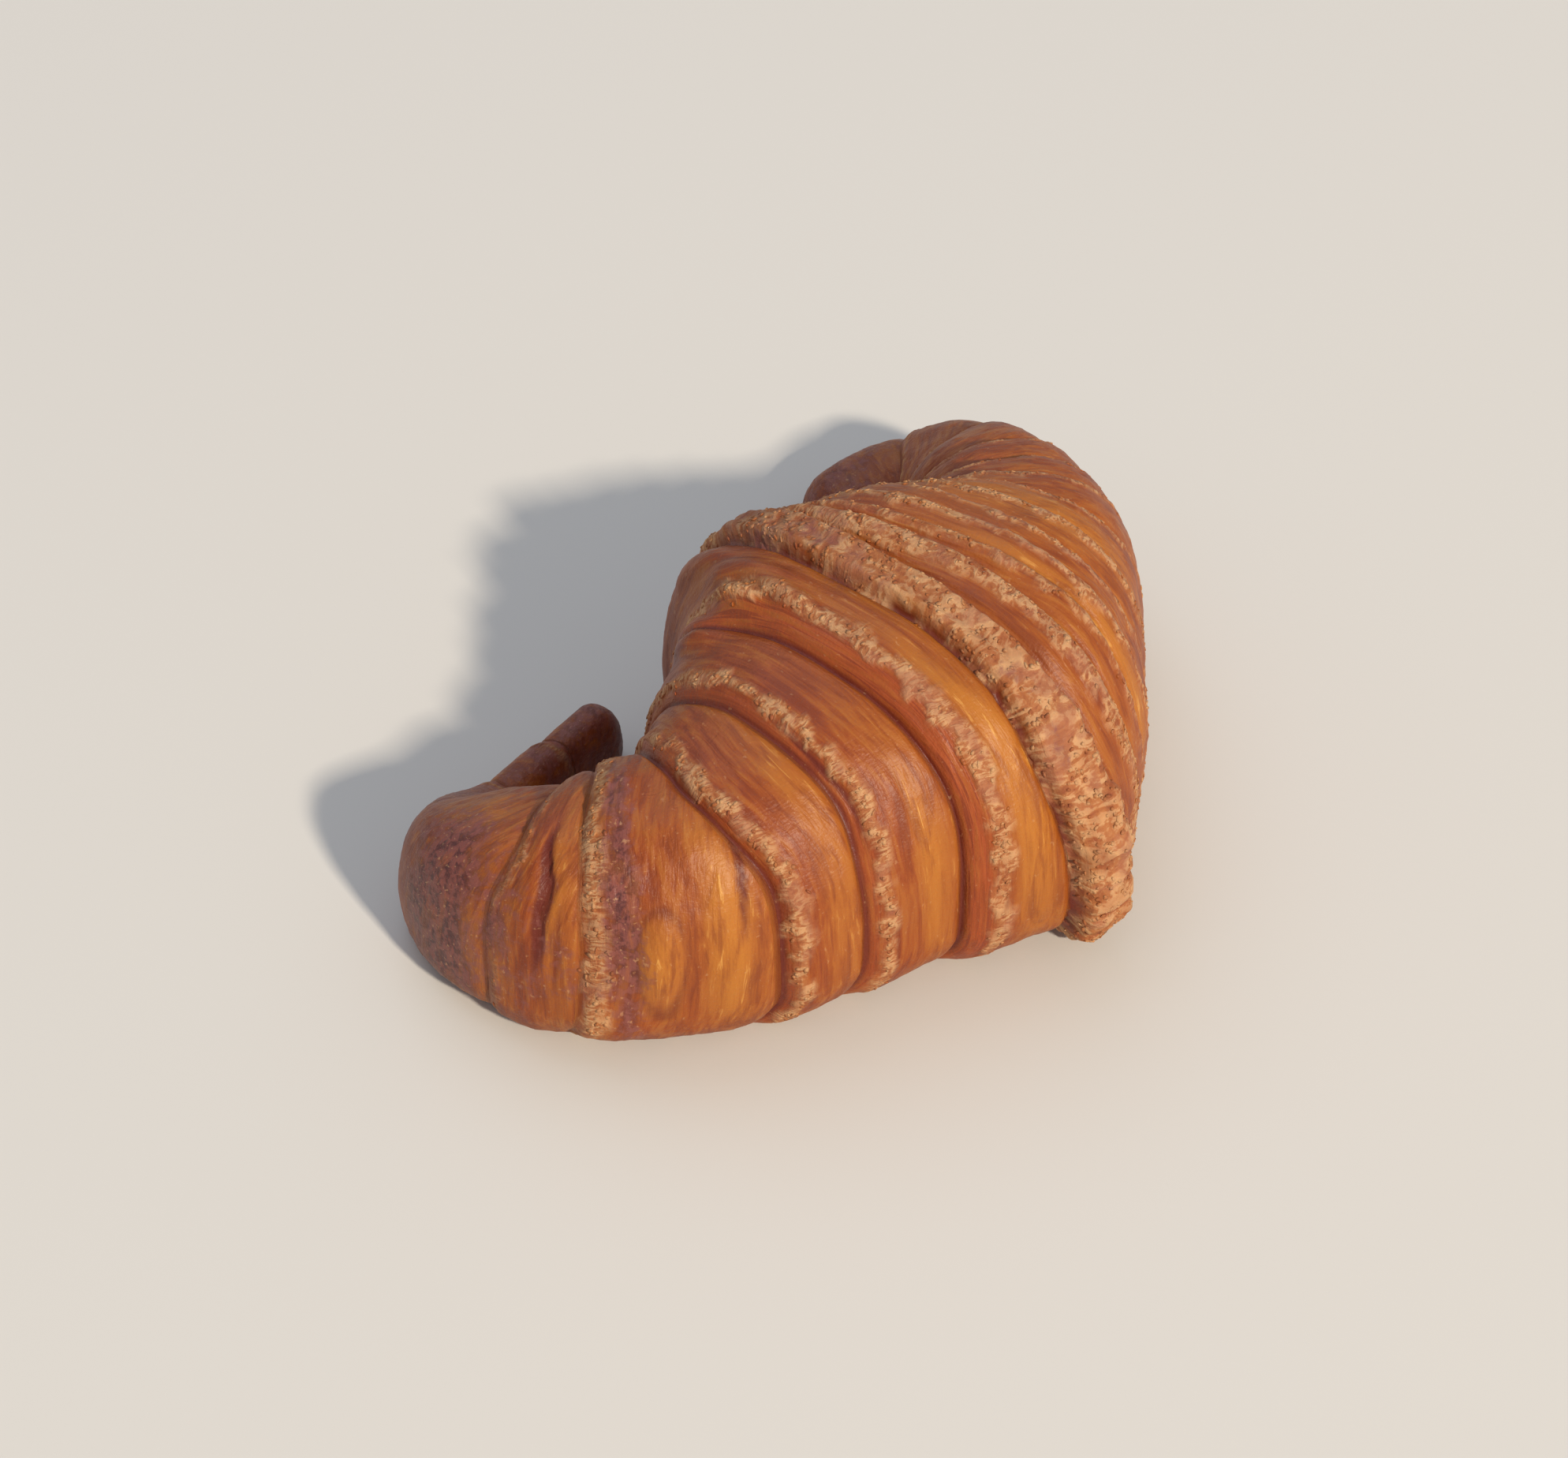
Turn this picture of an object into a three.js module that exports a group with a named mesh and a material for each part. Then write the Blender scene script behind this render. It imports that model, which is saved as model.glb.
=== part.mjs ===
// Butter croissant: laminated dough rolled up from a triangle, curled into a crescent and baked.
// One piece and one closed solid. It lies on a flat base, its horns curl towards +Y and its belly
// bulges towards -Y. Millimetres, +Z up, origin under the middle of its bounding box.
//
// The solid is a loft along a curved centre line. Its rings follow the edges of the rolled layers,
// so every layer is a puffed band that starts at a groove and a raised lip.

import * as THREE from "three";
import { mergeVertices } from "three/addons/utils/BufferGeometryUtils.js";

// Centre line on the table, from the tip of one horn through the belly to the tip of the other,
// with the half width and the height of the dough at each point: [x, y, half width, height].
const CENTRE_LINE = [
  [-22.5, 19, 4.3, 13.5],
  [-52, 16.5, 5.3, 15],
  [-66.5, 9.5, 12.5, 26.5],
  [-65.5, -10, 18, 36],
  [-50, -25, 22, 43],
  [-25, -28.5, 33, 51.5],
  [-9, -28.5, 43.5, 54.5],
  [10, -26.5, 36.5, 54],
  [39, -18.5, 22, 41],
  [57, 3.5, 15, 29],
  [55.5, 19, 11.5, 18],
  [40, 28.5, 7.5, 10],
];

// Cross section: a rounded square, flat where it lies on the baking tray.
const SECTION_POWER = 2.6; // 2 is an ellipse, higher is squarer
const WIDEST_HEIGHT = 0.28; // height of the widest place, as a share of the full height
const BASE_WIDTH = 0.7; // width of the flat base, as a share of the full width
const ARC_POINTS = 34; // from the front edge of the base, over the top, to its back edge
const BASE_POINTS = 3; // inside the flat base
const HORN_ROUNDING = 6; // length over which each horn closes to its rounded tip

// Layer edges, as shares of the length of the centre line: where the edge crosses the front of
// the belly side, the top, and the back. Edges before the crown step up, edges after it step down.
const RISING_EDGES = [
  [0.063, 0.063, 0.063],
  [0.121, 0.121, 0.121],
  [0.174, 0.174, 0.169],
  [0.254, 0.255, 0.247],
  [0.291, 0.291, 0.277],
  [0.373, 0.346, 0.311],
  [0.406, 0.402, 0.386],
  [0.464, 0.46, 0.445],
  [0.51, 0.522, 0.556],
];
const FALLING_EDGES = [
  [0.552, 0.556, 0.59],
  [0.584, 0.585, 0.61],
  [0.605, 0.606, 0.628],
  [0.634, 0.633, 0.65],
  [0.664, 0.663, 0.676],
  [0.694, 0.693, 0.704],
  [0.725, 0.724, 0.734],
  [0.758, 0.757, 0.765],
  [0.793, 0.792, 0.797],
  [0.832, 0.831, 0.833],
  [0.876, 0.876, 0.876],
  [0.926, 0.926, 0.926],
];

// Relief of a layer, measured out from the smooth loft.
const GROOVE_DEPTH = 1.2; // groove at the edge of a layer
const LIP_HEIGHT = 0.9; // raised lip past the groove
const PUFF_HEIGHT = 0.7; // swell in the middle of a layer
const SINK_HEIGHT = 0.1; // where the skin dips to the next groove
const CROWN_RISE = 1.2; // how much further the crown stands out
const SLENDER = 18; // half width under which the relief shrinks with the horn
const RELIEF_FADE = 0.08; // share of the height over which the relief fades to the flat base
// Shares of the way across a layer, counted from its lip, and the relief there.
const LAYER_PROFILE = [
  [0, -GROOVE_DEPTH],
  [0.25, LIP_HEIGHT],
  [0.5, PUFF_HEIGHT],
  [0.8, SINK_HEIGHT],
];
// The crown has a lip on both sides, and past it the lips are on the far side of each layer.
const CROWN_PROFILE = [
  [0, -GROOVE_DEPTH],
  [0.2, LIP_HEIGHT + CROWN_RISE],
  [0.5, PUFF_HEIGHT + CROWN_RISE],
  [0.8, LIP_HEIGHT + CROWN_RISE],
];
const FALLING_PROFILE = [
  [0, -GROOVE_DEPTH],
  ...LAYER_PROFILE.slice(1).map(([share, relief]) => [1 - share, relief]).reverse(),
];
const TIP_RINGS = [0.06, 0.25, 0.6]; // smooth rings between the first horn's tip and its first edge

const CRUST_COLOUR = 0xb9692c;
const CRUST_ROUGHNESS = 0.5;

const centreLine = new THREE.SplineCurve(CENTRE_LINE.map(([x, y]) => new THREE.Vector2(x, y)));
centreLine.arcLengthDivisions = 1000;
const sizes = new THREE.SplineCurve(CENTRE_LINE.map(([, , half, high]) => new THREE.Vector2(half, high)));
const fullLength = centreLine.getLength();

// Angle below the horizontal where the section meets its flat base.
const baseAngle = Math.acos(BASE_WIDTH ** (SECTION_POWER / 2));
const undersideDepth = Math.sin(baseAngle) ** (2 / SECTION_POWER);

// One point of a unit section: [sideways, up]. Angle 0 is the front, a quarter turn is the top.
function sectionPoint(angle) {
  const power = 2 / SECTION_POWER;
  const side = -Math.sign(Math.cos(angle)) * Math.abs(Math.cos(angle)) ** power;
  const lift = Math.abs(Math.sin(angle)) ** power;
  if (Math.sin(angle) >= 0) return [side, WIDEST_HEIGHT + (1 - WIDEST_HEIGHT) * lift];
  return [side, Math.max(0, WIDEST_HEIGHT * (1 - lift / undersideDepth))];
}

// A point of the dough at a share of its length and an angle round it, raised by the relief.
function doughPoint(share, angle, relief) {
  const t = centreLine.getUtoTmapping(THREE.MathUtils.clamp(share, 0, 1));
  const middle = centreLine.getPoint(t);
  const ahead = centreLine.getTangent(t);
  const [halfWidth, height] = sizes.getPoint(t).toArray();
  const fromEnd = Math.min(share, 1 - share) * fullLength;
  const closing = Math.sqrt(1 - (1 - Math.min(fromEnd / HORN_ROUNDING, 1)) ** 2);
  const [side, up] = sectionPoint(angle);
  const swell = relief * Math.min(1, halfWidth / SLENDER, up / RELIEF_FADE);
  const across = side * (halfWidth * closing + swell);
  return new THREE.Vector3(
    middle.x - ahead.y * across,
    middle.y + ahead.x * across,
    height * (WIDEST_HEIGHT + (up - WIDEST_HEIGHT) * closing) + up * swell,
  );
}

// Where an edge runs at an angle round the dough, through its front, top and back.
function edgeShare([front, top, back], angle) {
  const middle = (front + back) / 2;
  return middle + ((front - back) / 2) * Math.cos(angle) + (top - middle) * Math.sin(angle);
}

// Rings from tip to tip: each gives its place at any angle, and its relief.
function layerRings() {
  const edges = [...RISING_EDGES, ...FALLING_EDGES];
  const crown = RISING_EDGES.length - 1;
  const rings = [];
  const addRing = (from, to, share, relief) => {
    rings.push({
      relief,
      place: (angle) => THREE.MathUtils.lerp(edgeShare(from, angle), edgeShare(to, angle), share),
    });
  };
  const [tip, end] = [[0, 0, 0], [1, 1, 1]];
  TIP_RINGS.forEach((share) => addRing(tip, edges[0], share, 0));
  for (let i = 0; i < edges.length - 1; i++) {
    const [from, to] = [edges[i], edges[i + 1]];
    const profile = i < crown ? LAYER_PROFILE : i === crown ? CROWN_PROFILE : FALLING_PROFILE;
    profile.forEach(([share, relief]) => addRing(from, to, share, relief));
  }
  addRing(edges.at(-1), end, 0, -GROOVE_DEPTH);
  TIP_RINGS.toReversed().forEach((share) => addRing(edges.at(-1), end, 1 - share, 0));
  return rings;
}

// Angles round one ring: the skin from base edge to base edge, then back under the flat base.
const skinAngles = Array.from(
  { length: ARC_POINTS },
  (_, i) => -baseAngle + ((Math.PI + 2 * baseAngle) * i) / (ARC_POINTS - 1),
);

function ringPoints(ring) {
  const skin = skinAngles.map((angle) => doughPoint(ring.place(angle), angle, ring.relief));
  const [back, front] = [skin.at(-1), skin[0]];
  const base = Array.from({ length: BASE_POINTS }, (_, i) =>
    back.clone().lerp(front, (i + 1) / (BASE_POINTS + 1)),
  );
  return [...skin, ...base];
}

function croissantGeometry() {
  const rings = layerRings().map(ringPoints);
  const around = rings[0].length;
  const tips = [0, 1].map((share) => doughPoint(share, 0, 0));
  const points = [...rings.flat(), ...tips];
  const faces = [];
  for (let i = 0; i < rings.length - 1; i++) {
    for (let j = 0; j < around; j++) {
      const [a, b] = [i * around + j, i * around + ((j + 1) % around)];
      faces.push(a, a + around, b, b, a + around, b + around);
    }
  }
  const last = (rings.length - 1) * around;
  for (let j = 0; j < around; j++) {
    const next = (j + 1) % around;
    faces.push(rings.length * around, j, next);
    faces.push(rings.length * around + 1, last + next, last + j);
  }
  const geometry = new THREE.BufferGeometry().setFromPoints(points);
  geometry.setIndex(faces);
  return mergeVertices(geometry, 1e-3);
}

const crust = new THREE.MeshStandardMaterial({
  color: CRUST_COLOUR,
  roughness: CRUST_ROUGHNESS,
  metalness: 0,
});
const croissant = new THREE.Mesh(croissantGeometry(), crust);
croissant.name = "croissant";
croissant.geometry.computeBoundingBox();
const middle = croissant.geometry.boundingBox.getCenter(new THREE.Vector3());
croissant.position.set(-middle.x, -middle.y, 0);

const part = new THREE.Group();
part.add(croissant);
export default part;
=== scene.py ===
# %% [markdown]
# # A baked butter croissant
# A croissant is one long triangle of laminated dough. It is rolled up from its wide end, so the
# rolled layers overlap like shingles and climb from each horn towards the crown in the middle.
# The roll is then curled into a crescent, proved, brushed with egg and baked. This lesson builds
# it in that order: a smooth crescent, then its rolled layers, then the crust, flakes and light.

# %% Load the frame
import math

import bpy
import numpy as np
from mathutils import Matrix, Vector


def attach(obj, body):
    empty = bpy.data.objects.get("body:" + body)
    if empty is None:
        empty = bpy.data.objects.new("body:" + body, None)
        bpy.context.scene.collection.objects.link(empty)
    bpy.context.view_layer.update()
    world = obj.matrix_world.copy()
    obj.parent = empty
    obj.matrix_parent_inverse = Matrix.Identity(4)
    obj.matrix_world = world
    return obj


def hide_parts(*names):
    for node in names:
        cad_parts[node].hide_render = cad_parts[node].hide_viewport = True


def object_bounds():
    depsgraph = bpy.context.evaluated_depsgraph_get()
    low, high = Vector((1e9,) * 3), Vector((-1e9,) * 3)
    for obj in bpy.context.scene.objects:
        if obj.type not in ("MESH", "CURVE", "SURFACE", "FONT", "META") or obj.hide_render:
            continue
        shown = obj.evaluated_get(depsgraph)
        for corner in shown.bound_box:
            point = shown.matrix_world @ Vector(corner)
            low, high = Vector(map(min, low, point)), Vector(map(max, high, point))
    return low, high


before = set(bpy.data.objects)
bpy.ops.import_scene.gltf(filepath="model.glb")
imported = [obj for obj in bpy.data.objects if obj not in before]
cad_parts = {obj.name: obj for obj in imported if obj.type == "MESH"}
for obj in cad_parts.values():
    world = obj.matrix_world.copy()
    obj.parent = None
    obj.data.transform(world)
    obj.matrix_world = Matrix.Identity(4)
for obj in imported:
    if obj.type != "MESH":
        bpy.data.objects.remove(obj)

cad_low, cad_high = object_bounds()
cad_middle = (cad_low + cad_high) / 2
MM = 0.001
print("croissant of the frame, mm:", [round(side / MM, 1) for side in cad_high - cad_low])

# %% [markdown]
# ## A helper for nodes
# Geometry trees and materials are both made of nodes. One small function adds a node, sets its
# properties and fills its inputs with plain values, sockets or other nodes. Two more write sums
# and soft steps from one value to another.


# %% Helpers: add a node, a sum, a soft step
def add(tree, kind, links=None, **settings):
    made = tree.nodes.new(kind)
    for name, value in settings.items():
        setattr(made, name, value)
    for name, value in (links or {}).items():
        if isinstance(value, bpy.types.Node):
            value = next(out for out in value.outputs if out.enabled)
        if isinstance(value, bpy.types.NodeSocket):
            tree.links.new(value, made.inputs[name])
        else:
            made.inputs[name].default_value = value
    return made


def calc(tree, operation, *values):
    return add(tree, "ShaderNodeMath", dict(enumerate(values)), operation=operation)


def ramp(tree, value, start, end, low=0.0, high=1.0):
    places = {"Value": value, "From Min": start, "From Max": end, "To Min": low, "To Max": high}
    return add(tree, "ShaderNodeMapRange", places, interpolation_type="SMOOTHSTEP")


print("helpers for nodes: add, calc and ramp")

# %% [markdown]
# ## The smooth crescent
# Before the layers there is a plain crescent. It could be sculpted by hand, but a loft is easier to
# steer: a centre line on the table, and at each of its points how wide and how high the dough is.
# A spline runs through them. The section is a rounded square, flat where the dough lay on the tray.

# %% Sizes of the crescent, in millimetres
CENTRE_LINE = np.array([  # x, y, half width, height
    (-22.5, 19, 4.3, 13.5),
    (-52, 16.5, 5.3, 15),
    (-66.5, 9.5, 12.5, 26.5),
    (-65.5, -10, 18, 36),
    (-50, -25, 22, 43),
    (-25, -28.5, 33, 51.5),
    (-9, -28.5, 43.5, 54.5),
    (10, -26.5, 36.5, 54),
    (39, -18.5, 22, 41),
    (57, 3.5, 15, 29),
    (55.5, 19, 11.5, 18),
    (40, 28.5, 7.5, 10),
])
SECTION_POWER = 2.6  # 2 is an ellipse, higher is squarer
WIDEST_HEIGHT = 0.28  # as a share of the full height
BASE_WIDTH = 0.7  # as a share of the full width
HORN_ROUNDING = 6.0  # length over which a horn closes to its tip
TRACK_POINTS = 3000  # points walked along the spline


def spline(points, places):
    """Catmull-Rom spline through the points, at places from 0 to 1."""
    last = len(points) - 1
    place = np.clip(places, 0, 1) * last
    i = np.minimum(np.floor(place).astype(int), last - 1)
    w = (place - i)[..., None]
    before, here = points[np.maximum(i - 1, 0)], points[i]
    after, beyond = points[i + 1], points[np.minimum(i + 2, last)]
    out, into = (after - before) / 2, (beyond - here) / 2
    cubic = 2 * here - 2 * after + out + into
    square = 3 * after - 3 * here - 2 * out - into
    return cubic * w**3 + square * w**2 + out * w + here


TRACK = spline(CENTRE_LINE, np.linspace(0, 1, TRACK_POINTS))
STEPS = np.linalg.norm(np.diff(TRACK[:, :2], axis=0), axis=1)
WALKED = np.concatenate([[0], np.cumsum(STEPS)])
DOUGH_LENGTH = WALKED[-1]
print("centre line, mm:", round(DOUGH_LENGTH, 1))

# %% [markdown]
# A point of the skin is found by how far along the dough it is (a share of its length) and by its
# angle round it: 0 at the front, a quarter turn at the top, half a turn at the back.


# %% Points of the smooth dough
def walk(share):
    """x, y, half width and height at a share of the length."""
    far = np.clip(share, 0, 1) * DOUGH_LENGTH
    return [np.interp(far, WALKED, TRACK[:, k]) for k in range(4)]


BASE_ANGLE = math.acos(BASE_WIDTH ** (SECTION_POWER / 2))
UNDERSIDE = math.sin(BASE_ANGLE) ** (2 / SECTION_POWER)


def smooth_dough(share, angle):
    """Points of the skin, with the half width of the dough and how high each point is on it."""
    x, y, half_width, height = walk(share)
    step = 1.0 / DOUGH_LENGTH  # one millimetre
    ahead, behind = walk(share + step), walk(share - step)
    heading = np.arctan2(ahead[1] - behind[1], ahead[0] - behind[0])
    power = 2 / SECTION_POWER
    side = -np.sign(np.cos(angle)) * np.abs(np.cos(angle)) ** power
    lift = np.abs(np.sin(angle)) ** power
    above = WIDEST_HEIGHT + (1 - WIDEST_HEIGHT) * lift
    below = WIDEST_HEIGHT * np.maximum(0, 1 - lift / UNDERSIDE)
    up = np.where(np.sin(angle) >= 0, above, below)
    from_end = np.clip(np.minimum(share, 1 - share) * DOUGH_LENGTH / HORN_ROUNDING, 0, 1)
    closing = np.sqrt(1 - (1 - from_end) ** 2)
    across = side * half_width * closing
    raised = height * (WIDEST_HEIGHT + (up - WIDEST_HEIGHT) * closing)
    points = np.stack([x - np.sin(heading) * across, y + np.cos(heading) * across, raised], -1)
    return points, half_width, up


print("top of the middle, mm:", smooth_dough(0.5, math.pi / 2)[0].round(1))

# %% [markdown]
# ## The rolled layers
# Every layer of the roll ends in an edge that runs round the dough. Four things are seen at each,
# from the horn to the crown: a dark groove, the cut face of the dough sheet with its laminations,
# a pale crumbly rim where the cut face meets the skin, and then the egg-washed skin. Each row
# below is one layer: where its edge crosses the front, the top and the back, and its own finish.
# The crown has an edge on both sides. Past it the layers face the other way and step down.

# %% The layers, from horn to crown and down to the other horn
# edge at front, top, back (shares of the length), step mm, cut face mm, rim mm, redness of the cut
RISING_LAYERS = [
    (0.000, 0.000, 0.000, 0.3, 1.0, 1.0, 0.0),
    (0.063, 0.063, 0.063, 0.7, 1.2, 1.2, 0.3),
    (0.121, 0.121, 0.121, 0.8, 1.2, 1.2, 0.3),
    (0.174, 0.174, 0.169, 0.5, 1.2, 0.5, 0.2),
    (0.254, 0.255, 0.247, 0.3, 1.0, 0.4, 0.0),
    (0.291, 0.291, 0.277, 0.5, 0.4, 3.6, 0.1),
    (0.373, 0.346, 0.311, 1.2, 1.8, 2.2, 0.6),
    (0.406, 0.402, 0.386, 0.9, 2.8, 2.2, 0.4),
    (0.464, 0.460, 0.445, 1.4, 4.6, 3.2, 0.75),
]
CROWN_LAYER = (0.510, 0.522, 0.556, 2.4, 0.4, 12.0, 0.7)
FALLING_LAYERS = [
    (0.552, 0.556, 0.590, 1.1, 0.6, 4.4, 0.3),
    (0.584, 0.585, 0.610, 0.8, 1.4, 1.6, 0.3),
    (0.605, 0.606, 0.628, 0.9, 1.2, 3.0, 0.3),
    (0.634, 0.633, 0.650, 0.8, 1.4, 2.2, 0.3),
    (0.664, 0.663, 0.676, 0.9, 1.2, 3.0, 0.3),
    (0.694, 0.693, 0.704, 0.8, 1.4, 1.8, 0.4),
    (0.725, 0.724, 0.734, 0.9, 1.2, 2.4, 0.3),
    (0.758, 0.757, 0.765, 0.8, 1.4, 0.8, 0.4),
    (0.793, 0.792, 0.797, 0.8, 1.2, 1.2, 0.4),
    (0.832, 0.831, 0.833, 0.8, 1.2, 0.8, 0.4),
    (0.876, 0.876, 0.876, 0.8, 1.2, 0.8, 0.4),
    (0.926, 0.926, 0.926, 0.6, 1.0, 0.8, 0.3),
]
LAYERS = [*RISING_LAYERS, CROWN_LAYER, *FALLING_LAYERS]
CROWN = len(RISING_LAYERS)
EDGES = [layer[:3] for layer in LAYERS] + [(1.0, 1.0, 1.0)]
print("layers:", len(LAYERS), "of which", CROWN, "before the crown")

# %% [markdown]
# The mesh is a grid. Its rows lie along the layer edges, so a groove stays sharp with few faces,
# and its columns run from horn to horn. Edges wander a little, as hand-rolled ones do.

# %% Rows and columns of the grid
SKIN_COLUMNS = 172
BASE_COLUMNS = 14
ROW_SPACING = 0.5  # mm between rows on the centre line
FEWEST_ROWS = 8
EDGE_WANDER = 0.55  # mm
SLENDER = 18.0  # half width in mm under which the relief shrinks with the horn
SLENDER_POWER = 0.6  # under 1 keeps more relief on the thin horns
RELIEF_FADE = 0.08  # share of the height over which the relief fades to the flat base

rng = np.random.default_rng(7)
angles = np.linspace(-BASE_ANGLE, math.pi + BASE_ANGLE, SKIN_COLUMNS)


def edge_line(edge):
    """Share of the length where an edge runs, for each column."""
    front, top, back = edge
    middle = (front + back) / 2
    line = middle + (front - back) / 2 * np.cos(angles) + (top - middle) * np.sin(angles)
    waves = range(2, 9)
    wander = sum(np.sin(k * angles + rng.uniform(0, 2 * math.pi)) / k for k in waves)
    held = 0.0 if front in (0.0, 1.0) else EDGE_WANDER / DOUGH_LENGTH
    return line + wander * held


edge_lines = [edge_line(edge) for edge in EDGES]
shares, layer_of_row = [], []
for number, (start, end) in enumerate(zip(edge_lines[:-1], edge_lines[1:])):
    rows = max(FEWEST_ROWS, round((end - start).mean() * DOUGH_LENGTH / ROW_SPACING))
    for k in range(rows):
        shares.append(start + (end - start) * (k + (0.5 if number == 0 else 0)) / rows)
        layer_of_row.append(number)
shares = np.array(shares)
layer_of_row = np.array(layer_of_row)
points, half_widths, ups = smooth_dough(shares, angles[None, :])
print("grid:", points.shape[0], "rows,", SKIN_COLUMNS + BASE_COLUMNS, "columns")

# %% [markdown]
# Each point then learns where it is on its layer, in real millimetres, because grooves and rims
# keep their width while the layers narrow towards the inside of the curl.

# %% Where each point is on its layer
row_gap = np.linalg.norm(np.diff(points, axis=0), axis=2)
travelled = np.concatenate([np.zeros((1, SKIN_COLUMNS)), np.cumsum(row_gap, axis=0)])
from_edge = np.zeros_like(travelled)
across = np.zeros_like(travelled)
for number in range(len(LAYERS)):
    rows = np.flatnonzero(layer_of_row == number)
    beyond = min(rows[-1] + 1, len(travelled) - 1)
    width = travelled[beyond] - travelled[rows[0]]
    rising = travelled[rows] - travelled[rows[0]]
    falling = travelled[beyond] - travelled[rows]
    if number == CROWN:
        from_edge[rows] = np.minimum(rising, falling)
    else:
        from_edge[rows] = rising if number < CROWN else falling
    across[rows] = from_edge[rows] / width
relief = np.minimum(1, np.minimum((half_widths / SLENDER) ** SLENDER_POWER, ups / RELIEF_FADE))
finish = np.array(LAYERS)[layer_of_row]
print("widest layer, mm:", round(float(from_edge.max()), 1))

# %% [markdown]
# Some marks belong to one place and not to a layer: where the oven browned it most, where the
# dough stretched thin and stayed golden, where steam lifted the skin, and where the skin split.
# Each is a patch with a soft, wavy border, and a short list holds them. One round bubble by the
# long horn is both golden and lifted, with a thin dark line round it, partly painted shade.

# %% Patches of browning, gold, bubbles and slits
# share of the length, angle in degrees, half width in share, half width in degrees, strength
TOASTED_PATCHES = [
    (0.020, 90, 0.130, 260, 0.62),
    (0.160, 60, 0.030, 90, 0.45),
    (0.224, 25, 0.028, 75, 1.00),
    (0.312, 50, 0.011, 70, 0.95),
    (0.283, 20, 0.014, 40, 0.42),
    (0.262, 30, 0.010, 60, 0.38),
    (0.535, 105, 0.030, 25, 0.30),
    (0.446, 142, 0.016, 14, 0.85),
    (0.522, 60, 0.007, 12, 0.45),
    (0.520, 36, 0.007, 10, 0.40),
    (0.555, 125, 0.040, 26, 0.35),
    (1.000, 90, 0.090, 260, 0.68),
]
BUBBLE = (0.327, 18, 0.0098, 17)
GOLDEN_PATCHES = [
    (0.215, 84, 0.022, 15, 0.6),
    (0.263, 35, 0.005, 45, 0.3),
    (0.282, 55, 0.004, 40, 0.4),
    (0.297, 88, 0.010, 18, 0.4),
    (*BUBBLE, 0.9),
    (0.354, 26, 0.008, 36, 1.0),
    (0.396, 50, 0.008, 60, 0.3),
    (0.445, 24, 0.007, 30, 0.7),
    (0.498, 34, 0.008, 50, 0.9),
    (0.520, 88, 0.010, 22, 0.5),
    (0.476, 118, 0.012, 11, 0.7),
    (0.604, 50, 0.008, 60, 0.6),
    (0.690, 70, 0.020, 40, 0.6),
    (0.660, 100, 0.050, 25, 0.3),
]
BULGES = [  # strength in millimetres
    (*BUBBLE, 1.3),
    (0.354, 24, 0.006, 30, 0.4),
    (0.500, 118, 0.012, 16, 1.8),
    (0.520, 140, 0.012, 14, 1.4),
    (0.310, 90, 0.014, 14, 1.0),
    (0.530, 14, 0.012, 12, 0.9),
    (0.530, 44, 0.012, 9, 0.8),
    (0.555, 66, 0.010, 14, 0.7),
    (0.476, 118, 0.010, 9, 2.4),
    (0.487, 103, 0.009, 8, 1.8),
    (0.452, 134, 0.012, 14, 2.2),
    (0.530, -6, 0.020, 26, 3.0),
    (0.302, -6, 0.018, 18, 1.4),
]
SLITS = [
    (0.2765, 46, 0.0030, 34, 1.3),
    (0.2840, 22, 0.0026, 24, 0.55),
    (0.2700, 12, 0.0022, 18, 0.45),
    (0.2640, 50, 0.0028, 22, 0.4),
    (0.3610, 44, 0.0024, 26, 0.7),
    (0.4130, 62, 0.0024, 34, 0.7),
    (0.4400, 40, 0.0020, 26, 0.4),
    (0.5290, 26, 0.0026, 14, 0.5),
    (0.5320, 74, 0.0026, 16, 0.6),
]
PATCH_WAVE = 0.001  # how far the border of a patch waves, in share of the length
OUTLINE_REACH, OUTLINE_WIDTH, OUTLINE_STRENGTH = 1.1, 0.22, 0.46
GOLD_AT_GROOVE = 0.3  # the belly stays golden where the skin dips to the next groove


def away(share, degrees, wide, tall):
    """How far every grid point is from the middle of a patch, 1 at its wavy border."""
    wavy = shares + PATCH_WAVE * (np.sin(6 * angles) + np.sin(11 * angles + 1) / 2)[None, :]
    return np.hypot((wavy - share) / wide, (np.degrees(angles)[None, :] - degrees) / tall)


def patches(spots, sharpness=3):
    """Sum of soft round patches at every grid point."""
    return sum(strength * np.exp(-away(*patch) ** sharpness) for *patch, strength in spots)


def outline(patch):
    """A thin ring round a patch."""
    return OUTLINE_STRENGTH * np.exp(-((away(*patch) - OUTLINE_REACH) / OUTLINE_WIDTH) ** 2)


print("patches:", sum(map(len, (TOASTED_PATCHES, GOLDEN_PATCHES, BULGES, SLITS))))

# %% [markdown]
# ## From arrays to a mesh
# The skin grid is closed by a flat base and by one point at the tip of each horn. What a point
# learned becomes mesh attributes, which Geometry Nodes and the material read by name.


# %% Build the plain mesh
MEAN_RADIUS = 45  # mm, turns an angle round the dough into a distance for the patterns


def plain_mesh():
    rows = len(shares)
    weights = np.linspace(0, 1, BASE_COLUMNS + 2)[1:-1]
    base = points[:, -1:] * (1 - weights)[:, None] + points[:, :1] * weights[:, None]
    ring = np.concatenate([points, base], axis=1)
    around = ring.shape[1]
    tips = [ring[0].mean(0), ring[-1].mean(0)]
    everything = np.concatenate([ring.reshape(-1, 3), tips]) * MM
    i, j = np.meshgrid(np.arange(rows - 1), np.arange(around), indexing="ij")
    a, b = i * around + j, i * around + (j + 1) % around
    quads = np.stack([a, a + around, b + around, b], -1).reshape(-1, 4).tolist()
    first, final = rows * around, rows * around + 1
    start = (rows - 1) * around
    fans = [(first, k, (k + 1) % around) for k in range(around)]
    fans += [(final, start + (k + 1) % around, start + k) for k in range(around)]
    mesh = bpy.data.meshes.new("croissant_body")
    mesh.from_pydata(everything.tolist(), [], quads + fans)
    return mesh, around


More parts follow.
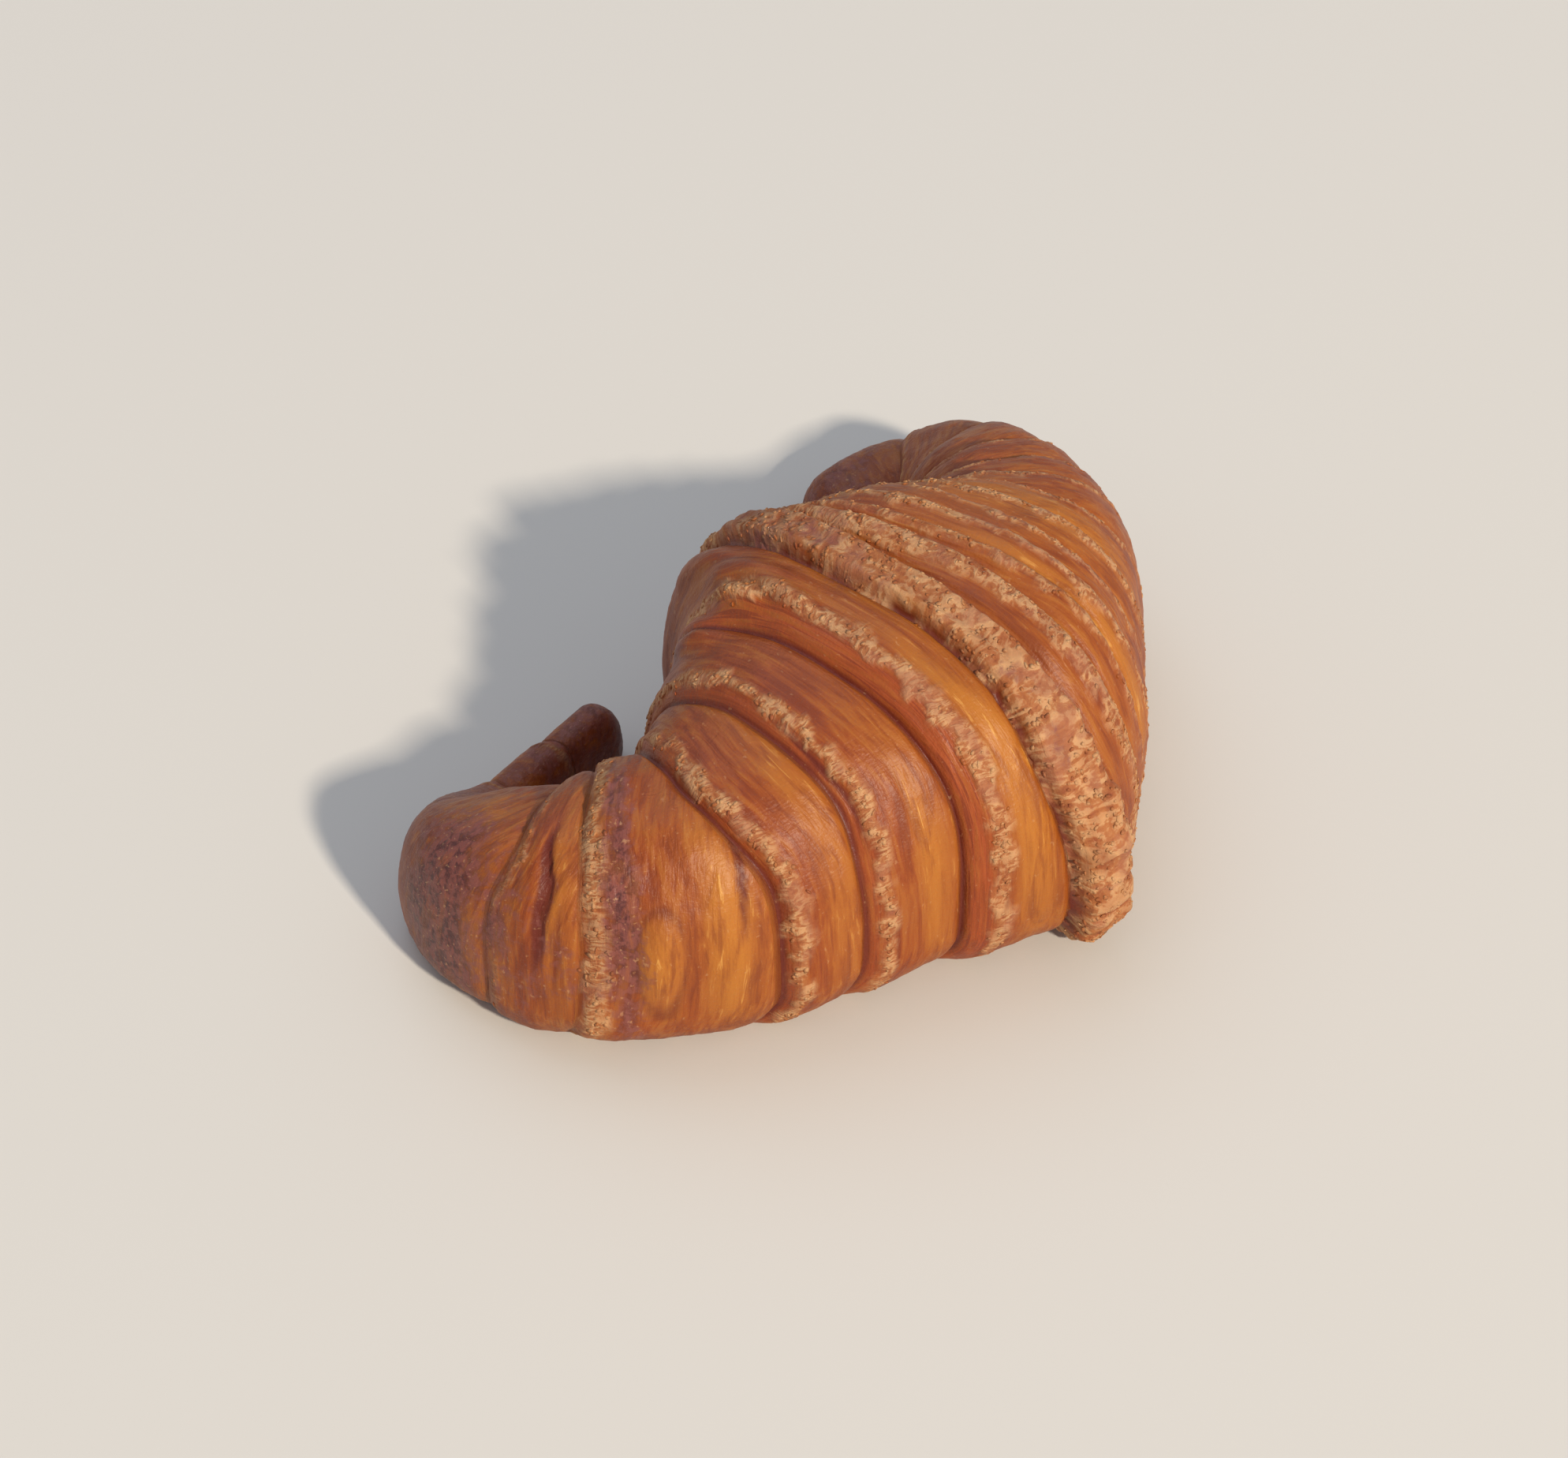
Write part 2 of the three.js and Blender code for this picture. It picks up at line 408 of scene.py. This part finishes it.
def keep(mesh, around, name, values, on_base=0.0):
    """Stores a value for every grid point as a mesh attribute. Base and tips get on_base."""
    full = np.full((len(shares), around), on_base, dtype=np.float32)
    full[:, :SKIN_COLUMNS] = values
    full = np.concatenate([full.ravel(), [on_base, on_base]]).astype(np.float32)
    mesh.attributes.new(name, "FLOAT", "POINT").data.foreach_set("value", full)


body_mesh, around = plain_mesh()
keep(body_mesh, around, "from_edge", from_edge * MM)
keep(body_mesh, around, "across", across)
keep(body_mesh, around, "relief", relief)
keep(body_mesh, around, "step", finish[:, 3:4] * MM)
keep(body_mesh, around, "cut_face", finish[:, 4:5] * MM, on_base=MM)
keep(body_mesh, around, "rim_width", finish[:, 5:6] * MM, on_base=MM)
keep(body_mesh, around, "redness", finish[:, 6:7])
keep(body_mesh, around, "browning", patches(TOASTED_PATCHES, 2), on_base=0.5)
before_groove = np.clip((across - 0.4) / 0.45, 0, 1)
on_the_belly = np.clip(np.cos(angles - 0.5), 0, 1)[None, :]
gold = patches(GOLDEN_PATCHES) + GOLD_AT_GROOVE * (before_groove * on_the_belly)
keep(body_mesh, around, "gold", np.minimum(gold, 1))
keep(body_mesh, around, "bulge", patches(BULGES) * MM)
keep(body_mesh, around, "slit", np.minimum(patches(SLITS) + outline(BUBBLE), 1))
keep(body_mesh, around, "layer", layer_of_row[:, None] + 0 * shares)
keep(body_mesh, around, "round", angles[None, :] * MEAN_RADIUS * MM + 0 * shares)
keep(body_mesh, around, "is_crown", (layer_of_row == CROWN)[:, None] + 0 * shares)
print("plain mesh:", len(body_mesh.vertices), "points")

# %% [markdown]
# ## Geometry Nodes raise the layers
# The relief follows one rule all over, so a node tree makes it. It reads how far a point is from
# its layer's edge: the cut face climbs from the groove, the skin swells and sinks to the next
# groove, the rim crumbles, fine fibres run round the roll, and the dough swells unevenly.

# %% Tree: rolled layers
LAYER_SIZES = {  # metres
    "Inset": 0.7 * MM,
    "Groove depth": 1.0 * MM,
    "Puff height": 0.7 * MM,
    "Crumble height": 0.34 * MM,
    "Fibre height": 0.3 * MM,
    "Swell height": 1.6 * MM,
    "Wrinkle height": 2.4 * MM,
}
FIBRE_WIDTH = 1.2 * MM
CRUMB_SIZE = 1.5 * MM
SWELL_SIZE = 14 * MM
BLOTCH_SIZE = 7 * MM
FRAY_SIZE, FRAY_DEPTH = 4 * MM, 7 * MM  # of the ragged border of a rim
RIDGE_LENGTH = 3 * MM
WRINKLE_SPACE = (14 * MM, 4.2 * MM)  # across the layer, then round the dough
LAYER_SHIFT = 3.7  # moves a pattern on from one layer to the next
SINK_POWER = 0.7


def new_tree(name, sizes):
    tree = bpy.data.node_groups.new(name, "GeometryNodeTree")
    sockets = tree.interface
    sockets.new_socket("Geometry", in_out="INPUT", socket_type="NodeSocketGeometry")
    for size in sizes:
        sockets.new_socket(size, in_out="INPUT", socket_type="NodeSocketFloat")
    sockets.new_socket("Seed", in_out="INPUT", socket_type="NodeSocketInt")
    sockets.new_socket("Crust", in_out="INPUT", socket_type="NodeSocketMaterial")
    sockets.new_socket("Geometry", in_out="OUTPUT", socket_type="NodeSocketGeometry")
    return tree, tree.nodes.new("NodeGroupInput"), tree.nodes.new("NodeGroupOutput")


def strand_space(tree, across_size, round_size, seed=0.0):
    """Coordinates that follow the roll, for patterns that are longer one way than the other."""
    return add(
        tree, "ShaderNodeCombineXYZ",
        {"X": calc(tree, "DIVIDE", read(tree, "from_edge"), across_size),
         "Y": calc(tree, "DIVIDE", read(tree, "round"), round_size),
         "Z": calc(tree, "MULTIPLY_ADD", read(tree, "layer"), LAYER_SHIFT, seed)},
    )


def read(tree, name):
    """A mesh attribute, in a geometry tree or in a material."""
    if tree.bl_idname == "GeometryNodeTree":
        return add(tree, "GeometryNodeInputNamedAttribute", {"Name": name}, data_type="FLOAT")
    return add(tree, "ShaderNodeAttribute", attribute_name=name).outputs["Fac"]


def noise(tree, place, scale, detail=2.0, roughness=0.5, distortion=0.0):
    links = {"Vector": place, "Scale": scale, "Detail": detail}
    links |= {"Roughness": roughness, "Distortion": distortion}
    return add(tree, "ShaderNodeTexNoise", links).outputs[0]


def around_zero(tree, value, middle, height):
    """Moves a pattern down by its middle value, so it raises and lowers, and scales it."""
    return calc(tree, "MULTIPLY", calc(tree, "SUBTRACT", value, middle), height)


def rim_ridges(tree):
    """Short ridges that run over a rim, twice as coarse on the crown."""
    length = calc(tree, "MULTIPLY_ADD", read(tree, "is_crown"), RIDGE_LENGTH, RIDGE_LENGTH)
    space = strand_space(tree, length, calc(tree, "MULTIPLY", length, 0.6))
    return noise(tree, space, 1.0, 3.0, 0.55, 1.8)


def rolled_layers_tree():
    tree, given, result = new_tree("rolled_layers", LAYER_SIZES)
    size = given.outputs
    distance, share = read(tree, "from_edge"), read(tree, "across")
    place = add(tree, "GeometryNodeInputPosition")

    # the cut face climbs from the groove, and the skin sinks to the next groove
    foot = calc(tree, "ADD", read(tree, "cut_face"), 1.2 * MM)
    climb = ramp(tree, calc(tree, "DIVIDE", distance, foot), 0.0, 1.0)
    sink = calc(tree, "POWER", calc(tree, "SUBTRACT", 1.0, share), SINK_POWER)
    height = calc(tree, "MULTIPLY", calc(tree, "MULTIPLY", climb, sink), read(tree, "step"))
    hump = calc(tree, "MULTIPLY", share, calc(tree, "SUBTRACT", 1.0, share))
    hump = calc(tree, "MULTIPLY", hump, 4.0)
    height = calc(tree, "MULTIPLY_ADD", hump, size["Puff height"], height)

    # grooves are wide and deep where the cut face is red, and a slit is a groove too
    width = calc(tree, "MULTIPLY_ADD", read(tree, "redness"), 1.6 * MM, 0.8 * MM)
    near_edge = ramp(tree, calc(tree, "DIVIDE", distance, width), 0.0, 1.0, 1.0, 0.0)
    groove = calc(tree, "MAXIMUM", near_edge, ramp(tree, share, 0.93, 1.0))
    groove = calc(tree, "MAXIMUM", groove, read(tree, "slit"))
    strength = calc(tree, "MULTIPLY_ADD", read(tree, "redness"), 1.1, 0.1)
    strength = calc(tree, "MAXIMUM", strength, read(tree, "slit"))
    hollow = calc(tree, "MULTIPLY", groove, strength)
    hollow = calc(tree, "MULTIPLY", hollow, size["Groove depth"])
    height = calc(tree, "SUBTRACT", height, calc(tree, "ADD", hollow, size["Inset"]))
    height = calc(tree, "ADD", height, read(tree, "bulge"))

    # the rim, with a ragged border
    fray = around_zero(tree, noise(tree, place, 1 / FRAY_SIZE, 3.0), 0.5, FRAY_DEPTH)
    inner = calc(tree, "SUBTRACT", distance, read(tree, "cut_face"))
    ragged = calc(tree, "ADD", inner, fray)
    rim_start = ramp(tree, ragged, -0.6 * MM, 0.5 * MM)
    past_rim = calc(tree, "SUBTRACT", ragged, read(tree, "rim_width"))
    rim = calc(tree, "MULTIPLY", rim_start, ramp(tree, past_rim, -0.5 * MM, 0.9 * MM, 1.0, 0.0))

    # crumbs, with short ridges that run over the rim, and fewer crumbs on the crown
    crumbs = noise(tree, place, 1 / CRUMB_SIZE, 4.0, 0.6)
    loose = calc(tree, "MULTIPLY_ADD", read(tree, "is_crown"), -0.6, 0.9)
    crumbs = around_zero(tree, crumbs, 0.4, loose)
    crumbled = calc(tree, "MULTIPLY_ADD", rim_ridges(tree), 1.2, crumbs)
    crumble = around_zero(tree, crumbled, 0.5, size["Crumble height"])
    height = calc(tree, "MULTIPLY_ADD", crumble, calc(tree, "MULTIPLY", rim, 2.0), height)

    # fibres that run round the roll
    fibre_space = strand_space(tree, FIBRE_WIDTH, 7 * FIBRE_WIDTH, size["Seed"])
    fibres = noise(tree, fibre_space, 1.0, 3.0, 0.55, 0.6)
    fibre = around_zero(tree, fibres, 0.5, size["Fibre height"])
    height = calc(tree, "MULTIPLY_ADD", fibre, 2.0, height)

    # wrinkles over the crown, low at the front
    wrinkles = noise(tree, strand_space(tree, *WRINKLE_SPACE), 1.0, 3.0, 0.5, 0.8)
    low_front = ramp(tree, read(tree, "round"), 20 * MM, 60 * MM, 1.0, 0.4)
    wrinkled = calc(tree, "MULTIPLY", read(tree, "is_crown"), low_front)
    wrinkle = around_zero(tree, wrinkles, 0.5, size["Wrinkle height"])
    height = calc(tree, "MULTIPLY_ADD", calc(tree, "MULTIPLY", wrinkle, wrinkled), 2.0, height)

    # the whole dough swells unevenly, and all relief fades out at the base and at the tips
    swells = noise(tree, place, 1 / SWELL_SIZE, 2.0)
    height = calc(tree, "ADD", height, around_zero(tree, swells, 0.5, size["Swell height"]))
    height = calc(tree, "MULTIPLY", height, read(tree, "relief"))

    normal = add(tree, "GeometryNodeInputNormal")
    push = add(tree, "ShaderNodeVectorMath", {0: normal, "Scale": height}, operation="SCALE")
    raised = add(tree, "GeometryNodeSetPosition", {"Geometry": size["Geometry"], "Offset": push})
    for name, value in (("rim", rim), ("groove", groove)):
        raised = add(
            tree, "GeometryNodeStoreNamedAttribute",
            {"Geometry": raised, "Name": name, "Value": value},
            data_type="FLOAT", domain="POINT",
        )
    whole = add(tree, "GeometryNodeRealizeInstances", {"Geometry": raised})
    dressed = add(tree, "GeometryNodeSetMaterial", {"Geometry": whole, "Material": size["Crust"]})
    tree.links.new(dressed.outputs["Geometry"], result.inputs["Geometry"])
    return tree


# %% [markdown]
# A modifier runs the tree. Its inputs are set by their identifiers, the evaluated result is kept as
# a plain mesh, and the modifier goes.


# %% Run a tree and keep its mesh
def run_tree(piece, tree, values):
    modifier = piece.modifiers.new(tree.name, "NODES")
    modifier.node_group = tree
    for item in tree.interface.items_tree:
        if item.in_out == "INPUT" and item.name in values:
            modifier[item.identifier] = values[item.name]
    graph = bpy.context.evaluated_depsgraph_get()
    made = bpy.data.meshes.new_from_object(piece.evaluated_get(graph))
    piece.modifiers.clear()
    piece.data = made
    made.name = piece.name


# %% [markdown]
# ## The crust
# Baked, egg-washed laminated dough. The egg wash leaves a thin satin glaze over the skin, the
# butter layers brown in streaks that run round the roll, cut faces turn red-brown, rims dry out
# pale and matte, and the horns, which are thin, toast almost to coffee brown.

# %% Colours
def linear(text):
    """sRGB hex to the linear colour that Blender's nodes take."""
    parts = [int(text[k:k + 2], 16) / 255 for k in (1, 3, 5)]
    curve = [p / 12.92 if p <= 0.04045 else ((p + 0.055) / 1.055) ** 2.4 for p in parts]
    return (*curve, 1.0)


STREAK_DARK, STREAK_MID, STREAK_LIGHT = "#783311", "#8a4013", "#98531c"
GOLD_SKIN = "#ab6922"
# the groove red stands partly for the crust's own colour, partly for painted shade
CUT_FACE_RED, GROOVE_RED_AND_SHADE = "#a04a20", "#5c1c10"
# the pit colour stands partly for the dough's own colour, partly for painted shade in hollows
RIM_PALE, RIM_TAN, RIM_PIT_AND_SHADE = "#c4986c", "#a56a40", "#8a4e30"
RIM_ROSE = "#9a6148"
# painted highlight: the colour of bright glints painted onto the golden skin
PAINTED_HIGHLIGHT_GOLD = "#d8a254"
TOASTED, TOASTED_DARK = "#7c463f", "#4a2628"
# sizes of the long patterns, across the layer and round the dough
BROAD_STREAKS = (2.4 * MM, 20 * MM)
FINE_STREAKS = (0.8 * MM, 9 * MM)
DOUGH_SHEETS = (0.4 * MM, 16 * MM)
FLECK_SPACE = (0.7 * MM, 1.4 * MM)
GRAIN_SIZE = 0.5 * MM
BUMP_DEPTH = 0.7 * MM
SKIN_ROUGHNESS, RIM_ROUGHNESS = 0.45, 0.8


def mix(tree, share, below, above):
    return add(tree, "ShaderNodeMix", {0: share, 6: below, 7: above}, data_type="RGBA")


# %% Material: egg-washed laminated crust
def egg_washed_crust():
    material = bpy.data.materials.new("egg_washed_laminated_crust")
    material.use_nodes = True
    tree = material.node_tree
    tree.nodes.clear()
    place = add(tree, "ShaderNodeTexCoord").outputs["Object"]

    # skin: streaks round the roll, in broad and fine strands
    broad = noise(tree, strand_space(tree, *BROAD_STREAKS), 1.0, 3.0, 0.55, 0.8)
    fine = noise(tree, strand_space(tree, *FINE_STREAKS, 5.0), 1.0, 3.0, 0.6, 0.6)
    streaks = calc(tree, "MULTIPLY_ADD", fine, 0.4, calc(tree, "MULTIPLY", broad, 0.6))
    blotches = noise(tree, place, 1 / BLOTCH_SIZE, 3.0)
    dark = mix(tree, ramp(tree, streaks, 0.38, 0.52), linear(STREAK_DARK), linear(STREAK_MID))
    skin = mix(tree, ramp(tree, streaks, 0.48, 0.62), dark, linear(STREAK_LIGHT))

    # golden where the skin is thin, with a few painted highlights for glints
    thin = calc(tree, "MULTIPLY", read(tree, "gold"), ramp(tree, streaks, 0.34, 0.54, 0.4, 1.0))
    skin = mix(tree, thin, skin, linear(GOLD_SKIN))
    # painted highlight: thin bright glints painted into the colour of the golden skin
    painted_highlight = calc(tree, "MULTIPLY", ramp(tree, fine, 0.6, 0.72), calc(tree, "MULTIPLY", thin, 0.6))
    skin = mix(tree, painted_highlight, skin, linear(PAINTED_HIGHLIGHT_GOLD))

    # cut face with its thin sheets of dough, and the crease at its foot, partly painted shade
    distance, redness = read(tree, "from_edge"), read(tree, "redness")
    face = calc(tree, "SUBTRACT", distance, read(tree, "cut_face"))
    face = calc(tree, "MULTIPLY", ramp(tree, face, -0.8 * MM, 1.4 * MM, 1.0, 0.0), redness)
    sheets = noise(tree, strand_space(tree, *DOUGH_SHEETS, 2.0), 1.0, 2.0, 0.5, 0.3)
    cut = calc(tree, "MULTIPLY", face, ramp(tree, sheets, 0.42, 0.54, 0.35, 1.0))
    skin = mix(tree, cut, skin, linear(CUT_FACE_RED))
    dark_sheets = calc(tree, "MULTIPLY", face, ramp(tree, sheets, 0.54, 0.6, 0.0, 0.6))
    # crease and groove painted dark red: partly the crust's own colour, partly painted shade
    crease_colour_and_shade = ramp(tree, distance, 0.3 * MM, 1.2 * MM, 1.0, 0.0)
    crease_colour_and_shade = calc(tree, "MULTIPLY", crease_colour_and_shade, ramp(tree, redness, 0.0, 0.5, 0.05, 0.9))
    groove_colour_and_shade = ramp(tree, read(tree, "groove"), 0.3, 1.0)
    groove_colour_and_shade = calc(tree, "MULTIPLY", groove_colour_and_shade, ramp(tree, redness, 0.0, 0.5, 0.05, 0.4))
    groove = calc(tree, "MAXIMUM", calc(tree, "MAXIMUM", crease_colour_and_shade, dark_sheets), groove_colour_and_shade)
    # slits and the ring round the bubble painted dark: partly painted shade in the crack
    groove = calc(tree, "MAXIMUM", groove, ramp(tree, read(tree, "slit"), 0.15, 0.7, 0.0, 0.9))
    groove = calc(tree, "MULTIPLY", groove, read(tree, "relief"))
    skin = mix(tree, groove, skin, linear(GROOVE_RED_AND_SHADE))

    # rim: dry flakes and the pits between them, the pits partly painted shade
    crumbs = noise(tree, place, 1 / CRUMB_SIZE, 4.0, 0.6, 0.4)
    flaky = calc(tree, "MULTIPLY_ADD", rim_ridges(tree), 0.6, calc(tree, "MULTIPLY", crumbs, 0.4))
    rim_colour = mix(tree, ramp(tree, flaky, 0.36, 0.46), linear(RIM_PIT_AND_SHADE), linear(RIM_TAN))
    rim_colour = mix(tree, ramp(tree, flaky, 0.46, 0.54), rim_colour, linear(RIM_PALE))
    rosy = calc(tree, "MULTIPLY", ramp(tree, blotches, 0.52, 0.6), 0.55)
    rim_colour = mix(tree, rosy, rim_colour, linear(RIM_ROSE))
    flecks = noise(tree, strand_space(tree, *FLECK_SPACE, 9.0), 1.0, 2.0, 0.5, 0.4)
    rim = calc(tree, "MULTIPLY", read(tree, "rim"), ramp(tree, blotches, 0.3, 0.55, 0.45, 1.0))
    colour = mix(tree, calc(tree, "MULTIPLY", rim, 0.85), skin, rim_colour)
    colour = mix(tree, ramp(tree, flecks, 0.66, 0.76, 0.0, 0.25), colour, linear(RIM_PALE))

    # browning, uneven and with light flecks
    uneven = calc(tree, "MULTIPLY_ADD", crumbs, 1.1, around_zero(tree, blotches, 1.11, 0.9))
    toast = calc(tree, "ADD", read(tree, "browning"), uneven)
    toasted = mix(tree, ramp(tree, crumbs, 0.38, 0.58), linear(TOASTED_DARK), linear(TOASTED))
    toasted = mix(tree, ramp(tree, flecks, 0.62, 0.7, 0.0, 0.45), toasted, linear(RIM_PALE))
    lighter_streaks = ramp(tree, broad, 0.5, 0.64, 1.0, 0.7)
    toast = calc(tree, "MULTIPLY", ramp(tree, toast, 0.3, 0.8, 0.0, 0.92), lighter_streaks)
    colour = mix(tree, toast, colour, toasted)

    # gloss and fine relief
    rough = ramp(tree, rim, 0.1, 0.8, SKIN_ROUGHNESS, RIM_ROUGHNESS)
    grain = noise(tree, place, 1 / GRAIN_SIZE, 3.0)
    bumps = calc(tree, "MULTIPLY", fine, 0.3)
    bumps = calc(tree, "MULTIPLY_ADD", flaky, calc(tree, "MULTIPLY_ADD", rim, 0.9, 0.2), bumps)
    bumps = calc(tree, "MULTIPLY_ADD", grain, 0.15, bumps)
    bump = add(tree, "ShaderNodeBump", {"Height": bumps, "Strength": 0.8, "Distance": BUMP_DEPTH})
    shader = add(
        tree, "ShaderNodeBsdfPrincipled",
        {"Base Color": colour, "Roughness": rough, "Normal": bump,
         "IOR": 1.42, "Specular IOR Level": 0.44,
         "Subsurface Weight": 0.1, "Subsurface Radius": (1.0, 0.45, 0.2),
         "Subsurface Scale": 2 * MM,
         "Coat Weight": 0.03, "Coat Roughness": 0.4},
    )
    add(tree, "ShaderNodeOutputMaterial", {"Surface": shader})
    return material


crust = egg_washed_crust()
print("material:", crust.name)

# %% [markdown]
# ## The body
# The tree runs on the plain mesh, and the result is moved onto the frame. The foot of the crown
# stands out in front, further than anything on the plain solid, so it is the far side and the
# flat base that line up with the frame.

# %% Make the croissant
BODY_SEED = 3
croissant = bpy.data.objects.new("croissant_body", body_mesh)
bpy.context.scene.collection.objects.link(croissant)
run_tree(croissant, rolled_layers_tree(), {**LAYER_SIZES, "Seed": BODY_SEED, "Crust": crust})
spots = np.zeros(len(croissant.data.vertices) * 3, np.float32)
croissant.data.vertices.foreach_get("co", spots)
spots = spots.reshape(-1, 3)
spots[:, 2] = np.maximum(spots[:, 2], 0)
shift = np.array(cad_middle) - (spots.min(0) + spots.max(0)) / 2
shift[1:] = cad_high.y - spots[:, 1].max(), cad_low.z
spots += shift.astype(np.float32)
croissant.data.vertices.foreach_set("co", spots.ravel())
croissant.data.shade_smooth()
croissant.data.update()
print("croissant:", len(croissant.data.polygons), "faces, shift mm", (shift / MM).round(1))

# %% [markdown]
# ## Dry flakes on the rims
# Where a layer ends, the thin pastry dries and breaks into flakes that stay stuck to the rim. A
# second tree scatters them where the first tree left a rim: flattened little lumps that lie along
# the skin, each with its own turn and size. Spots on the rim that look rosy get few of them.

# %% Tree: dry flakes
FLAKE_SIZES = {
    "Flakes per square metre": 5.0e5,
    "Flake radius": 0.42 * MM,
    "Thickness": 0.38,  # share of the radius
    "Tilt": 0.35,  # radians
}
FLAKE_SEED = 11
SMALLEST, LARGEST = {"X": 0.6, "Y": 0.5}, {"X": 1.8, "Y": 1.2}  # length and width, in radii


def any_between(tree, least, most, seed):
    """A random vector for each flake."""
    ends = {0: least, 1: most, "Seed": seed}
    return add(tree, "FunctionNodeRandomValue", ends, data_type="FLOAT_VECTOR")


def dry_flakes_tree():
    tree, given, result = new_tree("dry_flakes", FLAKE_SIZES)
    size = given.outputs
    where = ramp(tree, read(tree, "rim"), 0.5, 1.0)
    where = calc(tree, "MULTIPLY", where, ramp(tree, read(tree, "relief"), 0.7, 1.0))
    blotches = noise(tree, add(tree, "GeometryNodeInputPosition"), 1 / BLOTCH_SIZE, 3.0)
    where = calc(tree, "MULTIPLY", where, ramp(tree, blotches, 0.5, 0.58, 1.0, 0.1))
    density = calc(tree, "MULTIPLY", where, size["Flakes per square metre"])

    scatter = add(
        tree, "GeometryNodeDistributePointsOnFaces",
        {"Mesh": size["Geometry"], "Density": density, "Seed": size["Seed"]},
    )
    lean = calc(tree, "MULTIPLY", size["Tilt"], -1.0)
    least = add(tree, "ShaderNodeCombineXYZ", {"X": lean, "Y": lean, "Z": -math.pi})
    most = add(tree, "ShaderNodeCombineXYZ", {"X": size["Tilt"], "Y": size["Tilt"], "Z": math.pi})
    turn = any_between(tree, least, most, 1)
    turn = add(tree, "FunctionNodeEulerToRotation", {"Euler": turn})
    lying = add(
        tree, "FunctionNodeRotateRotation",
        {"Rotation": scatter.outputs["Rotation"], "Rotate By": turn}, rotation_space="LOCAL",
    )
    small = add(tree, "ShaderNodeCombineXYZ", {**SMALLEST, "Z": size["Thickness"]})
    large = add(tree, "ShaderNodeCombineXYZ", {**LARGEST, "Z": size["Thickness"]})
    scale = any_between(tree, small, large, 2)
    lump = {"Radius": size["Flake radius"], "Subdivisions": 1}
    flake = add(tree, "GeometryNodeMeshIcoSphere", lump)
    copies = add(
        tree, "GeometryNodeInstanceOnPoints",
        {"Points": scatter.outputs["Points"], "Instance": flake.outputs["Mesh"],
         "Rotation": lying, "Scale": scale},
    )
    whole = add(tree, "GeometryNodeRealizeInstances", {"Geometry": copies})
    dressed = add(tree, "GeometryNodeSetMaterial", {"Geometry": whole, "Material": size["Crust"]})
    tree.links.new(dressed.outputs["Geometry"], result.inputs["Geometry"])
    return tree


# %% Scatter the flakes
flakes = bpy.data.objects.new("rim_flakes", croissant.data.copy())
bpy.context.scene.collection.objects.link(flakes)
run_tree(flakes, dry_flakes_tree(), {**FLAKE_SIZES, "Seed": FLAKE_SEED, "Crust": crust})
flakes.data.shade_smooth()
print("flakes:", len(flakes.data.polygons), "faces")

# %% [markdown]
# The pastry is one piece, so both objects ride on the root and replace the same plain solid.

# %% Ride on the frame
for piece in (croissant, flakes):
    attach(piece, "root")
    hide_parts("croissant")

# %% [markdown]
# ## The table, the camera and the light
# A plain pale surface, a camera that looks down on the belly from the side of the long horn, a
# small warm key light to the right of the camera, far enough away for a crisp shadow, and a soft
# cool fill from behind and above. A pale room lights the rest.

# %% Floor
FLOOR_SIDE = 6.0
TABLE_COLOUR = "#d2d0c9"


def pale_floor():
    material = bpy.data.materials.new("pale_matt_table")
    material.use_nodes = True
    shader = material.node_tree.nodes["Principled BSDF"]
    shader.inputs["Base Color"].default_value = linear(TABLE_COLOUR)
    shader.inputs["Roughness"].default_value = 0.9
    shader.inputs["Specular IOR Level"].default_value = 0.2
    return material


half = FLOOR_SIDE / 2
floor_mesh = bpy.data.meshes.new("floor")
corners = [(-half, -half, 0), (half, -half, 0), (half, half, 0), (-half, half, 0)]
floor_mesh.from_pydata(corners, [], [(0, 1, 2, 3)])
floor_mesh.materials.append(pale_floor())
floor = bpy.data.objects.new("floor", floor_mesh)
bpy.context.scene.collection.objects.link(floor)

# %% Camera
from mathutils import Vector

CAMERA_AZIMUTH = math.radians(-50)
CAMERA_ELEVATION = math.radians(42.75)
CAMERA_DISTANCE = 0.575
CAMERA_LENS, SENSOR_WIDTH = 76.06, 36  # mm
NEAREST_SEEN = 0.01
aim = Vector((shift[0], shift[1], 0.0))
direction = Vector((
    math.sin(CAMERA_AZIMUTH) * math.cos(CAMERA_ELEVATION),
    -math.cos(CAMERA_AZIMUTH) * math.cos(CAMERA_ELEVATION),
    math.sin(CAMERA_ELEVATION),
))
camera_data = bpy.data.cameras.new("camera")
camera_data.lens = CAMERA_LENS
camera_data.sensor_width = SENSOR_WIDTH
camera_data.clip_start = NEAREST_SEEN
camera = bpy.data.objects.new("camera", camera_data)
camera.location = aim + direction * CAMERA_DISTANCE
camera.rotation_euler = direction.to_track_quat("Z", "Y").to_euler()
bpy.context.scene.collection.objects.link(camera)
bpy.context.scene.camera = camera


# %% Lights
def area_light(name, azimuth, elevation, distance, size, power, colour):
    """A square soft box that faces the croissant. Azimuth 0 is the -Y side, as for the camera."""
    data = bpy.data.lights.new(name, "AREA")
    data.size = size
    data.energy = power
    data.color = linear(colour)[:3]
    lamp = bpy.data.objects.new(name, data)
    a, e = math.radians(azimuth), math.radians(elevation)
    towards = Vector((math.sin(a) * math.cos(e), -math.cos(a) * math.cos(e), math.sin(e)))
    lamp.location = Vector(cad_middle) + towards * distance
    lamp.rotation_euler = towards.to_track_quat("Z", "Y").to_euler()
    bpy.context.scene.collection.objects.link(lamp)


# degrees round, degrees up, metres away, metres wide, watts
area_light("low_warm_key", -15, 32, 6.0, 0.4, 420, "#fff0dd")
area_light("cool_fill", 160, 60, 2.5, 2.0, 14, "#dfe8ff")
ROOM_COLOUR, ROOM_STRENGTH = "#dfe2ea", 0.55
world = bpy.data.worlds.new("soft_room")
world.use_nodes = True
world.node_tree.nodes["Background"].inputs["Color"].default_value = linear(ROOM_COLOUR)
world.node_tree.nodes["Background"].inputs["Strength"].default_value = ROOM_STRENGTH
bpy.context.scene.world = world
bpy.context.scene.view_settings.view_transform = "Standard"
